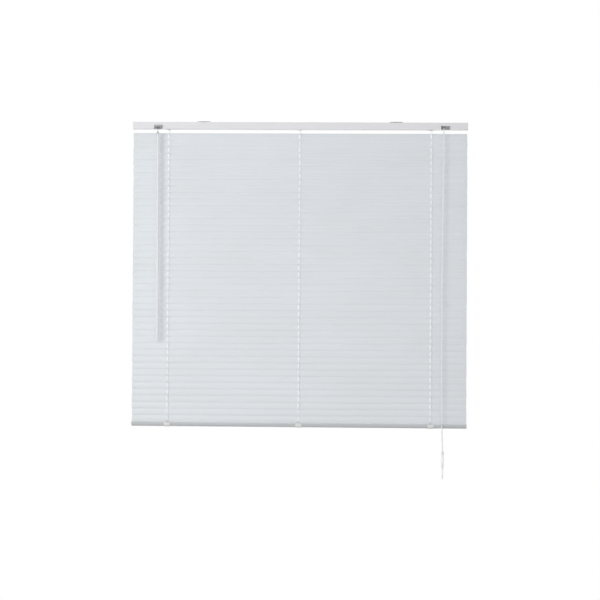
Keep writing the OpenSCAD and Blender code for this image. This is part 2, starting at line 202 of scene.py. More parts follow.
def paint(name, base, rough=0.34, roll=True, peel=0.00002, underside_shade=None):
    """Stove enamel on roll-formed sheet: faint blotches, lengthwise rolling lines, orange peel and a few specks.

    underside_shade=(z0, z1, f) darkens it by f from height z0 down to z1: painted shade on the lower, downward-facing
    part.
    """
    n = Nodes(name, base, rough, coat=0.12, coat_rough=0.22)
    broad = n.span(n.noise((3.1, 9, 9), 3), 0.3, 0.7)
    c = n.mix(broad, shade(base, 0.985, -0.002), shade(base, 1.015, 0.002))
    lines = n.noise((1.5, 900, 900), 2) if roll else n.noise(700, 2)
    c2 = n.mix(n.span(lines, 0.35, 0.65), (0.985, 0.985, 0.985), (1.0, 1.0, 1.0))
    mul = n.add("ShaderNodeMix", data_type="RGBA", blend_type="MULTIPLY")
    mul.inputs["Factor"].default_value = 1.0
    a, b = [s for s in mul.inputs if s.type == "RGBA"][:2]
    n.link(c, a)
    n.link(c2, b)
    tinted = [s for s in mul.outputs if s.type == "RGBA"][0]
    dust = n.span(n.noise(310, 4, 0.7), 0.70, 0.78)
    done = n.mix(dust, tinted, shade(base, 0.93))
    # painted shade: below height z0 the colour is multiplied down, darkest by z1, standing in for less light reaching
    # the underside
    if underside_shade:
        sep = n.add("ShaderNodeSeparateXYZ")
        n.link(n.coord.outputs["Object"], sep.inputs[0])
        uneven = n.math("ADD", sep.outputs[2], n.span(n.noise((8, 40, 40), 3), 0.3, 0.7, -0.0012, 0.0012))
        mul = n.add("ShaderNodeMix", data_type="RGBA", blend_type="MULTIPLY")
        n.link(n.span(uneven, underside_shade[0], underside_shade[1]), mul.inputs["Factor"])
        a, b = [s for s in mul.inputs if s.type == "RGBA"][:2]
        n.link(done, a)
        b.default_value = (underside_shade[2], underside_shade[2], underside_shade[2], 1)
        done = [s for s in mul.outputs if s.type == "RGBA"][0]
    n.colour(done)
    n.roughness(n.span(n.noise((14, 60, 60), 4), 0.3, 0.7, rough - 0.05, rough + 0.08))
    n.bump(lines, 0.000012)
    n.bump(n.noise(1400, 2), peel)
    return n.mat


def plastic(name, base, rough=0.38, coat=0.0, ior=1.49, milky=0.0, top=None):
    """Injection-moulded plastic: flow marks, a fine spark-eroded grain and slight yellowing in patches.

    milky lets light soak through it; top=(z, colour) is the paint above height z.
    """
    n = Nodes(name, base, rough, ior=ior, coat=coat)
    if milky:
        n.p.inputs["Subsurface Weight"].default_value = milky
        n.p.inputs["Subsurface Radius"].default_value = (1.0, 1.0, 1.0)
        n.p.inputs["Subsurface Scale"].default_value = 0.1
    flow = n.span(n.noise((60, 90, 45), 4), 0.3, 0.7)
    c = n.mix(flow, shade(base, 0.97, -0.006), shade(base, 1.01))
    grime = n.span(n.noise(240, 5, 0.7), 0.60, 0.74)
    c = n.mix(grime, c, shade(base, 0.94, -0.01))
    if top:
        sep = n.add("ShaderNodeSeparateXYZ")
        n.link(n.coord.outputs["Object"], sep.inputs[0])
        c = n.mix(n.span(sep.outputs[2], top[0] - 0.00005, top[0] + 0.00005), c, top[1])
    n.colour(c)
    n.roughness(n.span(n.noise(420, 3), 0.3, 0.7, rough - 0.06, rough + 0.1))
    n.bump(n.noise(2600, 2), 0.00003)
    n.bump(n.noise((150, 220, 110), 2), 0.00005)
    return n.mat


def plated(name, base, rough=0.34, spangle=0.1):
    """Zinc plating or bare steel: small crystal patches, fine scratches and a dull bloom."""
    n = Nodes(name, base, rough, metallic=1.0)
    grain = n.cells(340, output="Color")
    sep = n.add("ShaderNodeSeparateColor")
    n.link(grain, sep.inputs[0])
    c = n.mix(sep.outputs[0], shade(base, 1 - spangle), shade(base, 1 + spangle * 0.6))
    bloom = n.span(n.noise(90, 5, 0.65), 0.45, 0.75)
    n.colour(n.mix(bloom, c, shade(base, 0.78, -0.01)))
    scratch = n.noise((30, 1900, 60), 3)
    wear = n.math("ADD", n.span(n.noise(130, 4), 0.3, 0.7, rough - 0.08, rough + 0.12), n.span(scratch, 0.55, 0.75, 0, 0.12))
    n.roughness(wear)
    n.bump(scratch, 0.00002)
    n.bump(n.noise(1500, 2), 0.00002)
    return n.mat


def braid(name, base, strands=6, depth=0.00012, pitch=1.0):
    """Braided polyester, drawn from the tube's own UVs: u turns once round, v runs along in cord girths."""
    n = Nodes(name, base, 0.78, spec=0.3)
    n.p.inputs["Sheen Weight"].default_value = 0.15
    n.p.inputs["Sheen Roughness"].default_value = 0.5
    sep = n.add("ShaderNodeSeparateXYZ")
    n.link(n.coord.outputs["UV"], sep.inputs[0])
    u = n.math("MULTIPLY", sep.outputs[0], float(strands))
    v = n.math("MULTIPLY", sep.outputs[1], float(strands) * pitch)
    a = n.math("SINE", n.math("MULTIPLY", n.math("ADD", u, v), math.pi))
    b = n.math("SINE", n.math("MULTIPLY", n.math("SUBTRACT", u, v), math.pi))
    lump = n.math("MULTIPLY", a, b)
    lump = n.math("ABSOLUTE", lump)
    fibre = n.noise((40, 9, 1), 3, space="UV")
    # painted shade: the colour is darkened where the strands dip into the braid's crevices
    c = n.mix(n.span(lump, 0.0, 0.5), shade(base, 0.93, -0.003), shade(base, 1.0))
    n.colour(n.mix(n.span(n.noise(130, 3), 0.5, 0.75), c, shade(base, 0.96, -0.005)))
    n.roughness(n.span(fibre, 0.3, 0.7, 0.7, 0.88))
    n.bump(lump, depth)
    n.bump(fibre, 0.00002)
    return n.mat


def acrylic(name, base):
    """Clear acrylic rod: faint draw lines along its length, fine scratches and tiny haze spots."""
    n = Nodes(name, base, 0.2, ior=1.3)
    n.p.inputs["Subsurface Weight"].default_value = 1.0
    n.p.inputs["Subsurface Radius"].default_value = (1.0, 1.0, 1.0)
    n.p.inputs["Subsurface Scale"].default_value = 0.02
    haze = n.span(n.noise((60, 60, 20), 5, 0.6), 0.4, 0.75)
    n.colour(n.mix(haze, base, shade(base, 0.98, 0.003)))
    n.roughness(n.span(n.noise((500, 500, 14), 4), 0.35, 0.7, 0.14, 0.28))
    n.bump(n.noise((900, 900, 5), 2), 0.000006)
    return n.mat


SLAT = paint("slat_enamel", (0.745, 0.775, 0.800))
RAIL = paint("head_rail_enamel", (0.755, 0.748, 0.772), rough=0.36)
# the bottom rail's lower half carries painted shade in its colour
BRAIL = paint("bottom_rail_enamel", (0.706, 0.726, 0.746), rough=0.34, underside_shade=(-1.0606, -1.0627, 0.81))
BARE = plated("cut_aluminium_edge", (0.80, 0.81, 0.82), 0.3, 0.04)
ZINC = plated("zinc_plate", (0.60, 0.61, 0.62), 0.36)
HOOK = plated("wand_hook_wire", (0.56, 0.57, 0.58), 0.3, 0.05)
DARK = plated("roller_steel", (0.20, 0.20, 0.19), 0.42, 0.1)
TILTER = plastic("tilter_grey", (0.37, 0.38, 0.385), 0.42, top=(-0.0157, (0.74, 0.735, 0.755)))
LOCK = plastic("cord_lock_grey", (0.30, 0.305, 0.30), 0.44)
WHITE = plastic("white_moulding", (0.83, 0.835, 0.83), 0.36)
CAP = plastic("end_cap_moulding", (0.80, 0.805, 0.82), 0.4)
CLIP = plastic("ladder_clip_moulding", (0.80, 0.80, 0.79), 0.34)
TASSEL = plastic("tassel_moulding", (0.995, 0.995, 0.99), 0.32, ior=1.3, milky=1.0)
COLLAR = plastic("tassel_collar_moulding", (0.955, 0.955, 0.95), 0.4, ior=1.3)
TIP = plastic("tassel_tip_moulding", (0.80, 0.80, 0.79), 0.4, milky=0.5)
CORD = braid("lift_cord_braid", (0.925, 0.96, 0.985), 8, 0.0001, 0.55)
STRING = braid("ladder_string_braid", (0.905, 0.95, 0.985), 5, 0.00009, 0.7)
WAND = acrylic("clear_acrylic", (0.925, 0.965, 0.995))

# ---------------------------------------------------------------- mesh helpers


def add_object(name, verts, faces, materials, face_mats=None, uvs=None, angle=35.0):
    me = bpy.data.meshes.new(name)
    me.from_pydata([tuple(float(c) for c in v) for v in verts], [], [tuple(int(i) for i in f) for f in faces])
    for m in materials if isinstance(materials, (list, tuple)) else [materials]:
        me.materials.append(m)
    if face_mats is not None:
        me.polygons.foreach_set("material_index", np.array(face_mats, dtype=np.int32))
    if uvs is not None:
        layer = me.uv_layers.new(name="UVMap")
        layer.data.foreach_set("uv", np.array(uvs, dtype=np.float32).ravel())
    me.update()
    me.shade_smooth()
    me.set_sharp_from_angle(angle=math.radians(angle))
    o = bpy.data.objects.new(name, me)
    scene.collection.objects.link(o)
    return o


class Build:
    """Collects several closed shapes into one mesh."""

    def __init__(self):
        self.v, self.f, self.uv, self.m = [], [], [], []

    def put(self, verts, faces, uvs=None, mat=0):
        base = len(self.v)
        self.v.extend(verts)
        for k, f in enumerate(faces):
            self.f.append([base + i for i in f])
            self.uv.extend(uvs[k] if uvs is not None else [(0.0, 0.0)] * len(f))
            self.m.append(mat)

    def make(self, name, materials, angle=35.0):
        return add_object(name, self.v, self.f, materials, self.m, self.uv, angle)


def smooth_path(points, step):
    """Points every `step` or so along a centripetal Catmull-Rom curve through the given points."""
    p = [np.array(q, float) for q in points]
    p = [2 * p[0] - p[1], *p, 2 * p[-1] - p[-2]]
    out = []
    for i in range(1, len(p) - 2):
        p0, p1, p2, p3 = p[i - 1 : i + 3]
        t = [0.0]
        for a, b in ((p0, p1), (p1, p2), (p2, p3)):
            t.append(t[-1] + max(np.linalg.norm(b - a), 1e-9) ** 0.5)
        n = max(2, int(math.ceil(np.linalg.norm(p2 - p1) / step)))
        for k in range(n):
            u = t[1] + (t[2] - t[1]) * k / n
            a1 = (t[1] - u) / (t[1] - t[0]) * p0 + (u - t[0]) / (t[1] - t[0]) * p1
            a2 = (t[2] - u) / (t[2] - t[1]) * p1 + (u - t[1]) / (t[2] - t[1]) * p2
            a3 = (t[3] - u) / (t[3] - t[2]) * p2 + (u - t[2]) / (t[3] - t[2]) * p3
            b1 = (t[2] - u) / (t[2] - t[0]) * a1 + (u - t[0]) / (t[2] - t[0]) * a2
            b2 = (t[3] - u) / (t[3] - t[1]) * a2 + (u - t[1]) / (t[3] - t[1]) * a3
            out.append((t[2] - u) / (t[2] - t[1]) * b1 + (u - t[1]) / (t[2] - t[1]) * b2)
    out.append(p[-2])
    return np.array(out)


def tube_parts(path, radius, sides=10, closed=False, swell=None):
    """Verts, faces and UVs of a tube along a path, in the path's units. swell(s) scales the radius at distance s."""
    p = np.asarray(path, float)
    n = len(p)
    if closed:
        t = np.roll(p, -1, 0) - np.roll(p, 1, 0)
    else:
        t = np.gradient(p, axis=0)
    t /= np.linalg.norm(t, axis=1)[:, None]
    ref = np.array((0, 1.0, 0)) if abs(t[0][1]) < 0.9 else np.array((1.0, 0, 0))
    u = np.cross(t[0], ref)
    u /= np.linalg.norm(u)
    s = np.concatenate([[0], np.cumsum(np.linalg.norm(np.diff(p, axis=0), axis=1))])
    verts = []
    for i in range(n):
        u = u - (u @ t[i]) * t[i]
        u /= np.linalg.norm(u)
        w = np.cross(t[i], u)
        r = radius * (swell(s[i]) if swell else 1.0)
        for k in range(sides):
            a = 2 * math.pi * k / sides
            verts.append(p[i] + r * (math.cos(a) * u + math.sin(a) * w))
    faces, uvs = [], []
    girth = 2 * math.pi * radius
    for i in range(n if closed else n - 1):
        j = (i + 1) % n
        v0, v1 = s[i] / girth, (s[j] if j else s[-1] + np.linalg.norm(p[0] - p[-1])) / girth
        for k in range(sides):
            q = (k + 1) % sides
            faces.append([i * sides + k, i * sides + q, j * sides + q, j * sides + k])
            u0, u1 = k / sides, (k + 1) / sides
            uvs.append([(u0, v0), (u1, v0), (u1, v1), (u0, v1)])
    if not closed:
        # shallow domed ends
        for i, sign in ((0, -1), (n - 1, 1)):
            tip = len(verts)
            verts.append(p[i] + sign * t[i] * radius * 0.45)
            for k in range(sides):
                q = (k + 1) % sides
                f = [i * sides + q, i * sides + k, tip] if sign < 0 else [i * sides + k, i * sides + q, tip]
                faces.append(f)
                uvs.append([(k / sides, s[i] / girth)] * 3)
    return verts, faces, uvs


def lathe_parts(profile, segments=48, centre=(0, 0), close=True, wobble=None):
    """Verts and faces of a turned shape round the Z axis. profile is (radius, z) from top to bottom; a radius of 0 closes it."""
    verts, faces, rows = [], [], []
    for r, z in profile:
        if r <= 1e-9:
            rows.append([len(verts)])
            verts.append(np.array((centre[0], centre[1], z), float))
        else:
            rows.append(list(range(len(verts), len(verts) + segments)))
            for k in range(segments):
                a = 2 * math.pi * k / segments
                rr = r * (wobble(a, z) if wobble else 1.0)
                verts.append(np.array((centre[0] + rr * math.cos(a), centre[1] + rr * math.sin(a), z), float))
    pairs = list(zip(rows, rows[1:]))
    if close:
        pairs.append((rows[-1], rows[0]))
    for a, b in pairs:
        if len(a) == 1 and len(b) == 1:
            continue
        for k in range(segments):
            q = (k + 1) % segments
            if len(a) == 1:
                faces.append([a[0], b[k], b[q]])
            elif len(b) == 1:
                faces.append([a[k], b[0], a[q]])
            else:
                faces.append([a[k], b[k], b[q], a[q]])
    return verts, faces


def rounded(profile, r, steps=4):
    """A polyline whose inner corners are rounded by about r."""
    p = [np.array(q, float) for q in profile]
    out = [tuple(p[0])]
    for a, b, c in zip(p, p[1:], p[2:]):
        la, lc = np.linalg.norm(a - b), np.linalg.norm(c - b)
        d = min(r, la * 0.45, lc * 0.45)
        s, e = b + (a - b) / la * d, b + (c - b) / lc * d
        for k in range(steps + 1):
            t = k / steps
            out.append(tuple((1 - t) ** 2 * s + 2 * t * (1 - t) * b + t * t * e))
    out.append(tuple(p[-1]))
    return out


def to_world(verts, matrix=None):
    out = []
    for v in verts:
        q = Vector(v) * MM
        out.append(tuple(matrix @ q) if matrix is not None else tuple(q))
    return out


# ---------------------------------------------------------------- sizes, in millimetres, as the CAD source states them

BLIND_W, SLAT_W, SLAT_T, CROWN = 1180.0, 25.0, 0.3, 1.5
COUNT, PITCH_MM, TILT = 44, 23.13, 75.0
RAIL_TOP, RAIL_BOT = -3.0, -28.0
IN_BOT, ROD_Z = RAIL_BOT + 0.6, RAIL_TOP - 11
STATIONS = (-463.0, 0.0, 463.0)
EDGE_Y = SLAT_W / 2 * math.cos(math.radians(TILT))
EDGE_Z = SLAT_W / 2 * math.sin(math.radians(TILT))
SLAT1_Z = RAIL_BOT - 12.5 - EDGE_Z
SLAT_LEN = BLIND_W - 2
STRING_Y, STRING_DX, CORD_DX = EDGE_Y + 1.07, 1.6, 1.0
BRAIL_TOP = SLAT1_Z - (COUNT - 1) * PITCH_MM - EDGE_Z - 1.1
BRAIL_H = 16.0
LOCK_X, CORD_Y, CORD_R, STRING_R = 504.9, -16.0, 0.7, 0.6
TASSEL_X, TASSEL_Z = LOCK_X - 0.5, -1153.0
LANE_Z, GAP, POST_R = IN_BOT + 2.6, 1.85, 5.0
CORD_LOW = BRAIL_TOP - 7.6
TILTER_X, WAND_END, WAND_D, WAND_LEAN, LOOP_R = -500.5, -774.0, 9.0, 0.25, 4.0


def slat_z(i):
    return SLAT1_Z - (i - 1) * PITCH_MM


def gathers(o):
    """Gives the piece its own copy of its mesh."""
    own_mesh(o)


# ---------------------------------------------------------------- lift cords

HANG = [(-0.3, GAP, -60), (-1.5, 1.8, -190), (-3.4, 1.65, -380), (-5, 1.55, -600), (-5.2, 1.55, -800), (-4.7, 1.55, -980), (-2.8, 1.6, -1080)]


def rail_route(k):
    """From the ladder opening in the rail's floor to the cord lock's mouth."""
    x, w = STATIONS[k] + CORD_DX, GAP * (k - 1)
    c, h, cx, r = LOCK_X + w, LANE_Z, LOCK_X - POST_R, POST_R + w
    p = [(x, 0, RAIL_BOT), (x, 0.85 * w, RAIL_BOT + 0.5), (x + 0.3, 0.9 * w, h - 2.2), (x + 1.4, 0.95 * w, h - 0.7), (x + 4, w, h)]
    p += [(472, w, h), (480, w, h + 0.6), (485, w, h + 3.4), (489, w, h + 6.8), (492.5, w, h + 8.8)]
    for a in (0, 22.5, 45, 67.5, 90):
        t = math.radians(a)
        p.append((cx + r * math.sin(t), -POST_R + r * math.cos(t), h + 9.8 - a / 60))
    p += [(c, -8.5, h + 5.4), (c, -11.6, h + 2.2)]
    return p


def hang_route(k):
    """From the lock's mouth down to the tassel."""
    c, h, e = LOCK_X + GAP * (k - 1), LANE_Z, TASSEL_X + 1.6 * (k - 1)
    p = [(c, -11.6, h + 2.2), (c, -14.2, h - 1.6), (c, -15.6, h - 5.6), (c, CORD_Y, h - 10)]
    p += [(LOCK_X + q[0] + q[1] * (k - 1), CORD_Y, q[2]) for q in HANG]
    p += [(e, CORD_Y, TASSEL_Z + 20), (e, CORD_Y, TASSEL_Z - 6)]
    return p


cord_pieces, knots = [], Build()
rail_runs = Build()
for k in range(3):
    # free part, in front of the slats
    path = smooth_path(hang_route(k), 9.0)
    v, f, uv = tube_parts(path, CORD_R, 12)
    b = Build()
    b.put(to_world(v), f, uv)
    o = b.make(f"pull_cord_{k + 1}", CORD)
    cord_pieces.append((o, path * MM))
    # the run along the head rail, and down to the rail's floor
    path = smooth_path(rail_route(k), 2.2)
    v, f, uv = tube_parts(path, CORD_R, 10)
    rail_runs.put(to_world(v), f, uv)
    # stop knot inside the bottom rail
    x = STATIONS[k] + CORD_DX
    turns = [(x + 1.15 * math.sin(a) * (1 + 0.25 * math.cos(2 * a)), 1.05 * math.cos(a * 1.5), CORD_LOW - 1.5 + 0.85 * math.cos(a)) for a in np.linspace(0, 4 * math.pi, 60)]
    v, f, uv = tube_parts(turns, CORD_R, 8)
    knots.put(to_world(v), f, uv)
    v, f, uv = tube_parts([(x, 0, CORD_LOW - 3.2), (x + 0.3, 0.2, CORD_LOW - 4.2), (x + 0.5, 0.2, CORD_LOW - 5.0)], CORD_R * 1.05, 8)
    knots.put(to_world(v), f, uv)

down = Build()
for k, x in enumerate(STATIONS):
    zs = np.linspace(RAIL_BOT, CORD_LOW, 60)
    v, f, uv = tube_parts([(x + CORD_DX, 0, z) for z in zs], CORD_R, 10)
    down.put(to_world(v), f, uv)
lift_down = down.make("lift_cords_through_slats", CORD)
lift_rail = rail_runs.make("lift_cords_in_head_rail", CORD)
lift_knots = knots.make("lift_cord_stop_knots", CORD)
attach(lift_down, "head_rail")
gathers(lift_down)
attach(lift_rail, "head_rail")
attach(lift_knots, "bottom_rail")
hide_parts("lift_cords")

# ---------------------------------------------------------------- tassel


def make_tassel():
    """Cap and body with the cup the cords go in at, the stem below it and the tip, as three pieces."""
    centre = (TASSEL_X, CORD_Y)

    def turned(b, profile, ease, segments=56):
        v, f = lathe_parts(rounded(profile, ease), segments, centre, close=False)
        b.put(to_world([(p[0], p[1], p[2] + TASSEL_Z) for p in v]), f)
        for k, face in enumerate(b.f):
            if min(b.v[i][2] for i in face) > (TASSEL_Z - 10.5) * MM:
                b.m[k] = 1

    b = Build()
    turned(b, [(0, -8.0), (2.95, -8.0), (2.95, -0.2), (3.5, 0.0), (4.2, -1.6), (4.55, -4.4), (4.85, -8.6), (5.0, -14), (5.0, -52), (4.75, -54.8), (3.9, -56.6), (3.5, -58.2), (3.45, -58.9), (0, -58.9)], 0.5)
    for z in (-9.5, -11.5, -50.0):
        ring = [(TASSEL_X + 4.86 * math.cos(a), CORD_Y + 4.86 * math.sin(a), TASSEL_Z + z) for a in np.linspace(0, 2 * math.pi, 48, endpoint=False)]
        tv, tf, tuv = tube_parts(ring, 0.13, 6, closed=True)
        b.put(to_world(tv), tf)
    body = b.make("tassel_body", [TASSEL, COLLAR], 40)
    b = Build()
    turned(b, [(0, -58.2), (3.4, -58.2), (3.5, -59.2), (3.5, -82.6), (3.1, -84), (0, -84)], 0.4, 48)
    stem = b.make("tassel_stem", TASSEL, 40)
    b = Build()
    turned(b, [(0, -83.6), (2.2, -83.6), (2.2, -95.6), (1.7, -97.6), (0.9, -98.4), (0, -98.5)], 0.4, 40)
    end = b.make("tassel_tip", TIP, 40)
    for o in (body, stem, end):
        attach(o, "cord_tassel")
    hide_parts("cord_tassel")
    return body


tassel = make_tassel()
for k, (o, path) in enumerate(cord_pieces):
    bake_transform(o)

# ---------------------------------------------------------------- slats

rng = random.Random(20261)


def crown(s):
    return CROWN * (1 - (2 * s / SLAT_W) ** 2)


def crown_normal(s):
    d = -8 * CROWN * s / SLAT_W**2
    m = math.hypot(d, 1)
    return -d / m, 1 / m


def slat_plan():
    """The flat plan of one slat: points (x, s), quads, the outer boundary and the three slot boundaries, as index loops."""
    half, r = SLAT_LEN / 2, 2.6
    nj = 12
    ts = [-1 + 2 * j / nj for j in range(nj + 1)]
    # a little more room near the long edges
    ts = [t * (1 + 0.06 * (1 - t * t)) for t in ts]
    pts, quads, cols = [], [], []

    def column(x, w):
        first = len(pts)
        for t in ts:
            pts.append((x, t * w))
        return [first + j for j in range(nj + 1)]

    def width_at(x):
        d = abs(x) - (half - r)
        return 12.5 if d <= 0 else 12.5 - r + math.sqrt(max(0.0, r * r - d * d))

    pw, slots = 6.4, []
    marks = []
    for side in (-1, 1):
        for a in (90, 72, 52, 34, 16, 0):
            marks.append(side * (half - r + r * math.sin(math.radians(a))))
    for lo, hi, n in ((-half + r, STATIONS[0] - pw, 4), (STATIONS[0] + pw, STATIONS[1] - pw, 13), (STATIONS[1] + pw, STATIONS[2] - pw, 13), (STATIONS[2] + pw, half - r, 4)):
        for k in range(n + 1):
            marks.append(lo + (hi - lo) * k / n)
    xs = sorted(set(round(m, 5) for m in marks))
    columns = {x: column(x, width_at(x)) for x in xs}
    top_edge, bottom_edge = [], []
    for a, b in zip(xs, xs[1:]):
        ca, cb = columns[a], columns[b]
        station = [s for s in STATIONS if abs((a + b) / 2 - s) < 0.01]
        top_edge.append(ca[-1])
        bottom_edge.append(ca[0])
        if not station:
            for j in range(nj):
                quads.append((ca[j], cb[j], cb[j + 1], ca[j + 1]))
            continue
        # patch with a slot: rings from the patch's border to the slot's outline
        x0, m = station[0], 6
        border, inner = [], []
        for j in range(nj + 1):  # right column, upwards
            s = pts[cb[j]][1]
            border.append(cb[j])
            inner.append((1, s))
        tops = []
        for k in range(1, m):  # top edge, right to left
            x = b + (a - b) * k / m
            tops.append(len(pts))
            pts.append((x, 12.5))
            border.append(tops[-1])
            inner.append((0, (x - x0) / pw))
        for j in range(nj, -1, -1):  # left column, downwards
            s = pts[ca[j]][1]
            border.append(ca[j])
            inner.append((-1, s))
        bottoms = []
        for k in range(1, m):  # bottom edge, left to right
            x = a + (b - a) * k / m
            bottoms.append(len(pts))
            pts.append((x, -12.5))
            border.append(bottoms[-1])
            inner.append((2, (x - x0) / pw))
        top_edge.extend(reversed(tops))
        bottom_edge.extend(bottoms)
        hr, hl = 2.3, 5.2
        corner = hl + hr * math.sin(math.radians(45))
        target = []
        for kind, value in inner:
            if kind in (1, -1):
                s = value * corner / 12.5
                over = abs(s) - hl
                x = hr if over <= 0 else math.sqrt(max(0.0, hr * hr - over * over))
                target.append((x0 + kind * x, s))
            else:
                ang = math.radians(90 - value * 45)
                x, s = hr * math.cos(ang), hl + hr * math.sin(ang)
                target.append((x0 + x, s if kind == 0 else -s))
        rings = [border]
        for f in (0.45, 0.8, 1.0):
            ring = []
            for i, (bx, bs) in zip(border, target):
                px, ps = pts[i]
                ring.append(len(pts))
                pts.append((px + (bx - px) * f, ps + (bs - ps) * f))
            rings.append(ring)
        n = len(border)
        for r0, r1 in zip(rings, rings[1:]):
            for i in range(n):
                j = (i + 1) % n
                quads.append((r0[i], r0[j], r1[j], r1[i]))
        slots.append(rings[-1])
    top_edge.append(columns[xs[-1]][-1])
    bottom_edge.append(columns[xs[-1]][0])
    # outer boundary, anticlockwise seen from above: bottom edge rightwards, right end up, top edge leftwards, left end down
    outer = bottom_edge + columns[xs[-1]][1:-1] + list(reversed(top_edge)) + list(reversed(columns[xs[0]][1:-1]))
    return pts, quads, outer, slots


PLAN = slat_plan()


def make_slat(i):
    pts, quads, outer, slots = PLAN
    dt = rng.gauss(0, 0.28)
    tilt0 = TILT + max(-0.7, min(0.7, dt))
    twist = rng.uniform(-0.25, 0.25)
    shift = rng.uniform(-0.55, 0.55)
    ph, bow = rng.uniform(0, 2 * math.pi), rng.uniform(0.05, 0.22)
    kink = rng.uniform(0.0, 0.1)
    z0 = slat_z(i)
    n = len(pts)
    verts = []

    def place(x, s, h):
        t = math.radians(tilt0 + twist * x / 590 + 0.12 * math.sin(x / 97 + ph))
        # slats hang a hair lower between the ladders
        sag = bow * (math.cos(2 * math.pi * x / 463.0) - 1) / 2 + kink * math.sin(x / 41 + 2 * ph)
        y = s * math.cos(t) - h * math.sin(t)
        z = s * math.sin(t) + h * math.cos(t)
        return (x + shift, y, z0 + z + sag)

    for sign in (1, -1):
        for x, s in pts:
            ns, nh = crown_normal(s)
            o = sign * SLAT_T / 2
            verts.append(place(x, s + ns * o, crown(s) + nh * o))
    faces = [q for q in quads] + [tuple(reversed([k + n for k in q])) for q in quads]
    mats = [0] * len(faces)
    # the plan's quads face the crowned side when they run anticlockwise
    # rounded outer edge: a middle line pushed out by 0.1
    mid0 = len(verts)
    m = len(outer)
    for idx, k in enumerate(outer):
        xa, sa = pts[outer[idx - 1]]
        xb, sb = pts[outer[(idx + 1) % m]]
        d = math.hypot(xb - xa, sb - sa) or 1
        nx, ns_ = (sb - sa) / d, -(xb - xa) / d
        x, s = pts[k]
        verts.append(place(x + 0.1 * nx, s + 0.1 * ns_, crown(s)))
    for idx in range(m):
        j = (idx + 1) % m
        a, b = outer[idx], outer[j]
        faces.append((b, a, mid0 + idx, mid0 + j))
        faces.append((mid0 + j, mid0 + idx, a + n, b + n))
        mats += [0, 0]
    for loop in slots:
        m = len(loop)
        for idx in range(m):
            a, b = loop[idx], loop[(idx + 1) % m]
            faces.append((a, b, b + n, a + n))
            mats.append(1)
    o = add_object(f"slat_{i:02d}_blade", [tuple(c * MM for c in v) for v in verts], faces, [SLAT, BARE], mats, None, 40)
    body = f"slat_{i:02d}"
    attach(o, body)
    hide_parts(body)
    gathers(o)
    return o


def make_rungs(i):
    """The cross-threads of the three ladders that carry one slat."""
    b = Build()
    t = math.radians(TILT)
    z0 = slat_z(i)
    for x in STATIONS:
        for side in (-1, 1):
            pts = [(0, -STRING_Y, -EDGE_Z - 1.6), (0.35, -STRING_Y + 0.5, -EDGE_Z - 1.75)]
            for s in (-12.2, -9, -5, 0, 5, 9, 12.2):
                h = crown(s) - SLAT_T / 2 - 0.34
                pts.append((1.0 if abs(s) < 12 else 0.8, s * math.cos(t) - h * math.sin(t), s * math.sin(t) + h * math.cos(t)))
            pts += [(0.4, STRING_Y - 0.35, EDGE_Z + 0.55), (0, STRING_Y, EDGE_Z + 0.9)]
            path = smooth_path([(x + STRING_DX + side * 1.9 * p[0], p[1], z0 + p[2]) for p in pts], 3.0)
            v, f, uv = tube_parts(path, 0.28, 6)
            b.put(to_world(v), f, uv)
        # where the cross-threads are woven into the strings
        for sy, dz in ((-1, -EDGE_Z - 1.6), (1, EDGE_Z + 0.9)):
            zz = z0 + dz
            v, f, uv = tube_parts([(x + STRING_DX, sy * STRING_Y, zz - 0.9), (x + STRING_DX, sy * STRING_Y, zz), (x + STRING_DX, sy * STRING_Y, zz + 0.9)], 0.74, 8)
            b.put(to_world(v), f, uv)
    o = b.make(f"ladder_rungs_{i:02d}", STRING)
    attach(o, f"slat_{i:02d}")
    gathers(o)
    return o


for i in range(1, COUNT + 1):
    make_slat(i)
for i in range(1, COUNT + 1):
    make_rungs(i)

# ---------------------------------------------------------------- ladder strings

SHIFT = 2 * EDGE_Z  # how far a string travels when the slats turn over
DRUM_Z = ROD_Z - 7.0


def string_set(name, y, top, bottom, body, radius=STRING_R):
    b = Build()
    for j, x in enumerate(STATIONS):
        zs = np.linspace(top, bottom, max(4, int(abs(top - bottom) / 11.565)))
        pts = [(x + STRING_DX, y, z) for z in zs]
        v, f, uv = tube_parts(pts, radius, 10)
        b.put(to_world(v), f, uv)
    o = b.make(name, STRING)
    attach(o, body)
    return o


front = string_set("ladder_front_lines", -STRING_Y, DRUM_Z - SHIFT, BRAIL_TOP + 0.3, "ladder_front")
rear = string_set("ladder_rear_lines", STRING_Y, DRUM_Z, BRAIL_TOP + 0.3 + SHIFT, "ladder_rear")
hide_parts("ladder_front_strings")
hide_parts("ladder_rear_strings")
gathers(front)
gathers(rear)
for name, y in (("front", -STRING_Y), ("rear", STRING_Y)):
    # the stretch under each drum, and the stretch held by the bottom rail's clips
    o = string_set(f"ladder_{name}_tops", y, DRUM_Z, DRUM_Z - SHIFT, "head_rail", 0.53)
    gathers(o)
    o = string_set(f"ladder_{name}_tails", y, BRAIL_TOP + 0.3 + SHIFT, BRAIL_TOP - 1.2, "bottom_rail", 0.53)
    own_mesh(o)

wraps = Build()
for x in STATIONS:
    for dx in (-1.6, 1.6, 2.9):
        ring = [(x + dx + 0.05 * math.sin(3 * a), 8.55 * math.cos(a), ROD_Z + 8.55 * math.sin(a)) for a in np.linspace(0, 2 * math.pi, 56, endpoint=False)]
        v, f, uv = tube_parts(ring, 0.58, 8, closed=True)
        wraps.put(to_world(v), f, uv)
o = wraps.make("ladder_drum_wraps", STRING)
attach(o, "tilt_rod")

# ---------------------------------------------------------------- wand


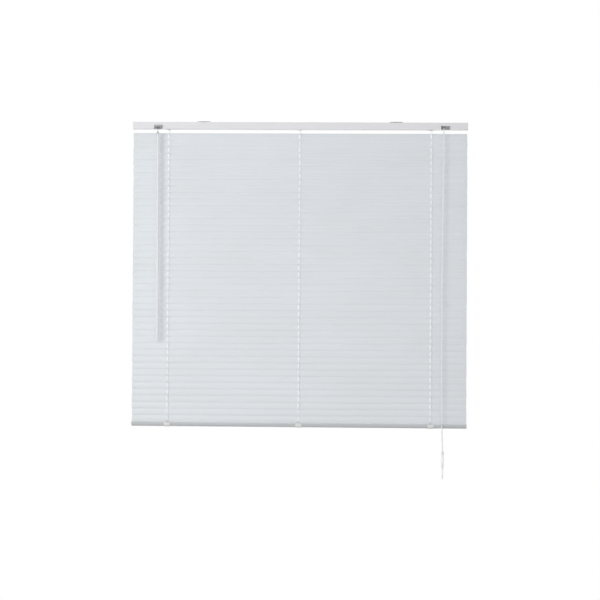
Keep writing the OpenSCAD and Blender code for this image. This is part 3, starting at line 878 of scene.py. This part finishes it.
def make_wand():
    lean = math.radians(35)
    wd = np.array((0, -math.sin(lean), -math.cos(lean)))
    wn = np.array((0, -math.cos(lean), math.sin(lean)))
    ring = np.array((TILTER_X, 0, ROD_Z)) + 8.4 * wn + 22.4 * wd
    place = Matrix.Translation(Vector(ring) * MM) @ Matrix.Rotation(math.radians(-WAND_LEAN), 4, "Y")
    # hexagonal rod with slightly rounded corners and eased ends
    top, bottom = -2 * LOOP_R - 6.6, WAND_END - ring[2]
    r = WAND_D / 2

    def section(scale):
        out = []
        for k in range(6):
            a = math.radians(60 * k)
            for d in (-6.5, -3.2, 0, 3.2, 6.5):
                t = a + math.radians(d)
                # distance to the flats, eased at the corner
                flat = r * math.cos(math.radians(30)) / math.cos(math.radians(30 - abs(d)))
                rr = min(flat, r * (0.985 - 0.00045 * d * d))
                out.append((scale * rr * math.cos(t), scale * rr * math.sin(t)))
        return out

    zs = [(top, 0.80), (top - 0.25, 0.93), (top - 0.7, 1.0)] + [(top - 0.7 - (top - bottom - 1.6) * k / 24, 1.0) for k in range(1, 24)] + [(bottom + 0.9, 1.0), (bottom + 0.3, 0.94), (bottom, 0.82)]
    verts, faces = [], []
    m = 30
    for z, s in zs:
        for x, y in section(s):
            verts.append((x, y, z))
    for a in range(len(zs) - 1):
        for k in range(m):
            q = (k + 1) % m
            faces.append([a * m + k, (a + 1) * m + k, (a + 1) * m + q, a * m + q])
    # bore for the hook's stem: a blind hole from the top
    hole = [(1.0, top), (1.0, -2 * LOOP_R - 13.4)]
    h0 = len(verts)
    for rr, z in hole:
        for k in range(m):
            a = 2 * math.pi * k / m - math.radians(6.5)
            verts.append((rr * math.cos(a), rr * math.sin(a), z))
    for k in range(m):
        q = (k + 1) % m
        faces.append([k, q, h0 + q, h0 + k])
        faces.append([h0 + k, h0 + q, h0 + m + q, h0 + m + k])
    c = len(verts)
    verts.append((0, 0, -2 * LOOP_R - 13.4))
    for k in range(m):
        q = (k + 1) % m
        faces.append([h0 + m + k, h0 + m + q, c])
    e = len(verts)
    last = (len(zs) - 1) * m
    verts.append((0, 0, bottom - 0.05))
    for k in range(m):
        q = (k + 1) % m
        faces.append([last + q, last + k, e])
    b = Build()
    b.put(to_world(verts, place), faces)
    rod = b.make("wand_rod", WAND, 12)
    # hook: stem, loop through the eyelet and a short return
    pts = [(0, 0, -2 * LOOP_R - 12.8), (0, 0, -2 * LOOP_R - 6), (0, 0, -2 * LOOP_R - 2.2)]
    for a in np.linspace(-80, 245, 30):
        t = math.radians(a)
        pts.append((0, LOOP_R * math.cos(t), -LOOP_R + LOOP_R * math.sin(t)))
    b = Build()
    v, f, uv = tube_parts(smooth_path(pts, 0.7), 0.6, 10)
    b.put(to_world(v, place), f, uv)
    v, f, uv = tube_parts([(0, 0, z) for z in np.linspace(-2 * LOOP_R - 12.9, -2 * LOOP_R - 1.2, 8)], 0.93, 14)
    b.put(to_world(v, place), f, uv)
    # ferrule: a small flared cup
    prof = rounded([(1.05, -2 * LOOP_R - 2.3), (1.7, -2 * LOOP_R - 2.3), (2.1, -2 * LOOP_R - 3.6), (3.5, -2 * LOOP_R - 6.3), (3.45, -2 * LOOP_R - 6.55), (1.05, -2 * LOOP_R - 6.55)], 0.25)
    v, f = lathe_parts(prof, 36, close=True)
    b.put(to_world(v, place), f)
    hook = b.make("wand_hook", HOOK, 40)
    for o, s in ((rod, "clear_acrylic"), (hook, "zinc_plated_steel")):
        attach(o, "tilt_wand")
    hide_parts("tilt_wand")


make_wand()

# ---------------------------------------------------------------- finishes of the carried-over CAD nodes


def finish_node(name, material):
    o = NODES[name]
    o.data.materials.clear()
    o.data.materials.append(material)


def rod_material():
    """Steel in the middle, white moulded drums and wheel further out, told apart by distance from the rod's axis."""
    n = Nodes("tilt_rod_and_drums", (0.7, 0.7, 0.7), 0.35)
    sep = n.add("ShaderNodeSeparateXYZ")
    n.link(n.coord.outputs["Object"], sep.inputs[0])
    y = n.math("POWER", sep.outputs[1], 2.0)
    z = n.math("POWER", n.math("SUBTRACT", sep.outputs[2], ROD_Z * MM), 2.0)
    d = n.math("SQRT", n.math("ADD", y, z))
    outer = n.span(d, 0.00304, 0.00310)
    steel = n.mix(n.span(n.noise((20, 500, 500), 4), 0.3, 0.7), (0.58, 0.59, 0.60), (0.68, 0.69, 0.70))
    white = n.mix(n.span(n.noise(110, 4), 0.3, 0.7), (0.80, 0.80, 0.78), (0.84, 0.84, 0.83))
    n.colour(n.mix(outer, steel, white))
    n.link(n.span(outer, 0, 1, 1.0, 0.0), n.p.inputs["Metallic"])
    n.roughness(n.span(n.noise(260, 3), 0.3, 0.7, 0.3, 0.44))
    n.bump(n.noise((60, 1800, 1800), 2), 0.00002)
    return n.mat


finish_node("head_rail", RAIL)
finish_node("head_rail_end_caps", CAP)
finish_node("mounting_brackets", ZINC)
finish_node("ladder_cradles", WHITE)
finish_node("tilter_housing", TILTER)
finish_node("cord_lock_housing", LOCK)
finish_node("tilt_rod", rod_material())
finish_node("tilter_worm", HOOK)
finish_node("cord_lock_roller", DARK)
finish_node("bottom_rail", BRAIL)
finish_node("bottom_rail_fittings", CLIP)

# ---------------------------------------------------------------- light, floor


def area(name, at, aim, size, watts, colour=(1, 1, 1)):
    data = bpy.data.lights.new(name, "AREA")
    data.shape = "DISK"
    data.size = size
    data.energy = watts
    data.color = colour
    o = bpy.data.objects.new(name, data)
    o.location = at
    o.rotation_mode = "QUATERNION"
    o.rotation_quaternion = (Vector(aim) - Vector(at)).to_track_quat("-Z", "Y")
    scene.collection.objects.link(o)


area("key", (-4.5, -4.5, 0.1), (0, 0, -0.55), 1.0, 66.0, (1.0, 0.99, 0.98))
area("fill", (0.1, -3.2, 0.05), (0, 0, -0.5), 2.0, 11.9)
area("side", (-1.9, -2.6, 0.2), (0, 0, -0.5), 2.2, 20.2)

world = bpy.data.worlds.new("studio")
world.use_nodes = True
wt = world.node_tree
wt.nodes.clear()
w_out = wt.nodes.new("ShaderNodeOutputWorld")
w_bg = wt.nodes.new("ShaderNodeBackground")
w_cam = wt.nodes.new("ShaderNodeBackground")
w_mix = wt.nodes.new("ShaderNodeMixShader")
w_path = wt.nodes.new("ShaderNodeLightPath")
w_coord = wt.nodes.new("ShaderNodeTexCoord")
w_sep = wt.nodes.new("ShaderNodeSeparateXYZ")
w_bg.inputs["Color"].default_value = (0.99, 0.995, 1.0, 1)
w_cam.inputs["Color"].default_value = (1, 1, 1, 1)
w_cam.inputs["Strength"].default_value = 1.0


def w_math(op, a, b):
    n = wt.nodes.new("ShaderNodeMath")
    n.operation = op
    for k, v in enumerate((a, b)):
        if isinstance(v, (int, float)):
            n.inputs[k].default_value = v
        else:
            wt.links.new(v, n.inputs[k])
    return n.outputs[0]


# a bright wall behind the blind and a softer room in front of it, both fading towards the sides, the ceiling and the floor
wt.links.new(w_coord.outputs["Generated"], w_sep.inputs[0])
behind = w_math("MULTIPLY", w_math("MAXIMUM", w_sep.outputs[1], 0.0), 1.545)
ahead = w_math("MULTIPLY", w_math("MAXIMUM", w_math("MULTIPLY", w_sep.outputs[1], -1.0), 0.0), 0.822)
wt.links.new(w_math("ADD", w_math("ADD", behind, ahead), 0.005), w_bg.inputs["Strength"])
wt.links.new(w_path.outputs["Is Camera Ray"], w_mix.inputs[0])
wt.links.new(w_bg.outputs[0], w_mix.inputs[1])
wt.links.new(w_cam.outputs[0], w_mix.inputs[2])
wt.links.new(w_mix.outputs[0], w_out.inputs[0])
scene.world = world


def make_floor():
    n = Nodes("studio_floor", (0.72, 0.72, 0.715), 0.85)
    n.colour(n.mix(n.span(n.noise(3.0, 3), 0.3, 0.7), (0.71, 0.71, 0.705), (0.73, 0.73, 0.725)))
    n.bump(n.noise(40, 2), 0.0003)
    z = -2.3
    o = add_object("studio_floor", [(-3.2, -3.4, z), (3.2, -3.4, z), (3.2, 1.1, z), (-3.2, 1.1, z)], [(0, 1, 2, 3)], n.mat)


make_floor()

scene.view_settings.view_transform = "Standard"
scene.view_settings.look = "None"
scene.view_settings.exposure = 0.0
scene.view_settings.gamma = 1.0
